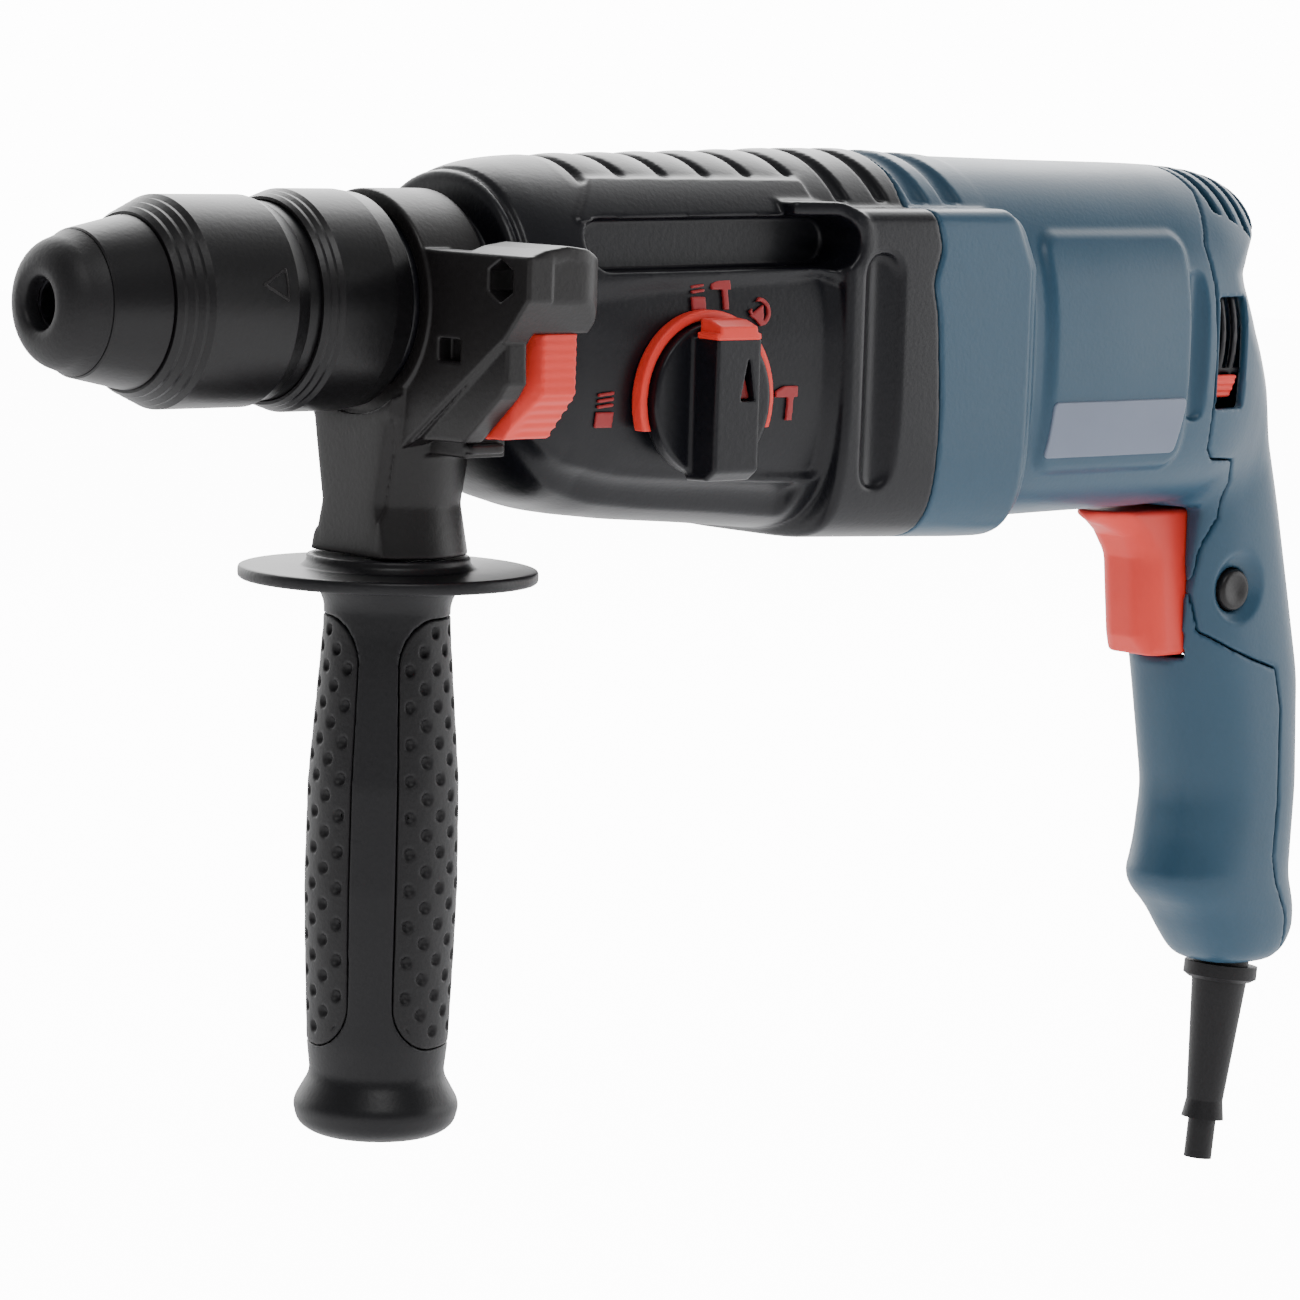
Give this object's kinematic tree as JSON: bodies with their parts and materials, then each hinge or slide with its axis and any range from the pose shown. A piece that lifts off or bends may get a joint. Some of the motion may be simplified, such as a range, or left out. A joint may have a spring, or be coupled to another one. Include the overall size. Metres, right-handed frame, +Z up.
{
  "type": "rotary hammer",
  "caption": "Corded pistol-grip rotary hammer with a quick-change chuck, mode dial, swivelling side handle, trigger, lock button and direction lever.",
  "frame": {"origin": "on the spindle axis at the front face of the chuck's nose", "axes": "the tool bit points along -X, +X runs back to the motor and the main handle, +Z is up, -Y is the tool's left side with the mode dial"},
  "size_m": [0.411, 0.0975, 0.2734],
  "materials": {
    "dark_plastic": "satin, fine grain",
    "blue_plastic": "satin",
    "black_plastic": "satin, fine grain",
    "grey_plastic": "satin",
    "red_plastic": "semi-gloss",
    "rubber": "matte",
    "soft_grip": "matte",
    "label": "satin film",
    "steel": "ground",
    "spring_steel": "drawn",
    "die_cast": "as cast",
    "bronze": "sintered",
    "copper": "varnished",
    "carbon": "matte",
    "resin": "matte"
  },
  "bodies": {
    "root": {"gear_housing": "dark_plastic", "motor_housing": "blue_plastic", "rear_cover": "blue_plastic", "name_plate": "label", "mode_scale": "red_plastic", "cord_guard": "rubber", "power_cord": "rubber", "cord_clamp": "resin", "housing_screws": "steel", "spindle_front_bearing": "steel", "spindle_rear_bush": "bronze", "front_seal": "rubber", "countershaft_bush": "bronze", "countershaft_bearing": "steel", "intermediate_flange": "die_cast", "armature_front_bearing": "steel", "armature_rear_bearing": "steel", "stator_core": "spring_steel", "field_coils": "copper", "switch_body": "resin", "capacitor": "resin"},
    "spindle": {"spindle": "steel", "tool_socket": "steel", "dust_cap": "rubber", "nose_ring": "black_plastic", "locking_balls": "steel", "sleeve_spring": "spring_steel", "spindle_gear": "steel", "clutch_ring": "steel", "clutch_spring": "spring_steel"},
    "locking_sleeve": {"locking_sleeve": "black_plastic"},
    "change_ring": {"change_ring": "black_plastic"},
    "impact_bolt": {"impact_bolt": "steel"},
    "striker": {"striker": "steel"},
    "piston": {"piston": "die_cast", "piston_pin": "steel"},
    "wobble_ring": {"wobble_ring": "steel"},
    "countershaft": {"countershaft": "steel", "countershaft_gear": "steel", "wobble_hub": "steel"},
    "armature": {"armature_shaft": "steel", "rotor_core": "spring_steel", "rotor_windings": "copper", "commutator": "copper", "cooling_fan": "resin"},
    "brush_ring": {"brush_ring": "resin", "direction_lever": "red_plastic", "carbon_brushes": "carbon"},
    "selector": {"selector_knob": "dark_plastic"},
    "selector_button": {"selector_button": "red_plastic"},
    "shift_plate": {"shift_plate": "steel"},
    "trigger": {"trigger": "red_plastic", "trigger_spring": "spring_steel"},
    "lock_button": {"lock_button": "dark_plastic"},
    "side_handle": {"handle_clamp": "black_plastic", "clamp_strap": "steel", "clamp_bolt": "steel"},
    "side_grip": {"side_grip": "black_plastic", "grip_pads": "soft_grip"},
    "depth_stop_button": {"depth_stop_button": "red_plastic"}
  },
  "joints": [
    {"name": "armature_spin", "type": "hinge", "parent": "root", "child": "armature", "pos_m": [0, 0, -0.01055], "axis": [1, 0, 0], "continuous": true},
    {"name": "countershaft_spin", "type": "hinge", "parent": "root", "child": "countershaft", "pos_m": [0, 0, -0.03092], "axis": [1, 0, 0], "continuous": true},
    {"name": "spindle_spin", "type": "hinge", "parent": "root", "child": "spindle", "pos_m": [0, 0, 0], "axis": [1, 0, 0], "continuous": true},
    {"name": "sleeve_pull", "type": "slide", "parent": "spindle", "child": "locking_sleeve", "axis": [1, 0, 0], "range_m": [0, 0.0035], "deforming": ["sleeve_spring"]},
    {"name": "change_ring_pull", "type": "slide", "parent": "spindle", "child": "change_ring", "axis": [1, 0, 0], "range_m": [0, 0.0022]},
    {"name": "impact_bolt_slide", "type": "slide", "parent": "spindle", "child": "impact_bolt", "axis": [1, 0, 0], "range_m": [-0.0035, 0]},
    {"name": "striker_slide", "type": "slide", "parent": "spindle", "child": "striker", "axis": [1, 0, 0], "range_m": [-0.0139, 0.006]},
    {"name": "wobble_swing", "type": "hinge", "parent": "root", "child": "wobble_ring", "pos_m": [0.197, 0, -0.03092], "axis": [0, 1, 0], "range_deg": [-14, 14]},
    {"name": "piston_slide", "type": "slide", "parent": "root", "child": "piston", "axis": [1, 0, 0], "range_m": [-0.0076, 0.0076]},
    {"name": "direction_swing", "type": "hinge", "parent": "root", "child": "brush_ring", "pos_m": [0.333, 0, -0.01055], "axis": [1, 0, 0], "range_deg": [-33, 0]},
    {"name": "selector_turn", "type": "hinge", "parent": "root", "child": "selector", "pos_m": [0.163, -0.038, -0.022], "axis": [0, 1, 0], "range_deg": [-90, 90]},
    {"name": "selector_button_press", "type": "slide", "parent": "selector", "child": "selector_button", "axis": [0, 0, -1], "range_m": [0, 0.0022]},
    {"name": "shift_slide", "type": "slide", "parent": "root", "child": "shift_plate", "axis": [1, 0, 0], "range_m": [-0.0041, 0.0041]},
    {"name": "trigger_press", "type": "slide", "parent": "root", "child": "trigger", "axis": [1, 0, 0], "range_m": [0, 0.007], "stiffness_N_per_m": 400, "springref_m": -0.004, "deforming": ["trigger_spring"]},
    {"name": "lock_button_press", "type": "slide", "parent": "root", "child": "lock_button", "axis": [0, 1, 0], "range_m": [0, 0.0035]},
    {"name": "handle_swing", "type": "hinge", "parent": "root", "child": "side_handle", "pos_m": [0.098, 0, 0], "axis": [1, 0, 0], "continuous": true},
    {"name": "grip_turn", "type": "hinge", "parent": "side_handle", "child": "side_grip", "pos_m": [0.098, 0, -0.1], "axis": [0, 0, 1], "continuous": true},
    {"name": "depth_button_press", "type": "slide", "parent": "side_handle", "child": "depth_stop_button", "axis": [0, 1, 0], "range_m": [0, 0.004]}
  ],
  "couplings": [
    {"joint": "countershaft_spin", "follows": "armature_spin", "ratio": -0.21622},
    {"joint": "spindle_spin", "follows": "armature_spin", "ratio": 0.052853},
    {"joint": "piston_slide", "follows": "wobble_swing", "m_per_rad": 0.0306},
    {"joint": "shift_slide", "follows": "selector_turn", "m_per_rad": 0.002546}
  ]
}
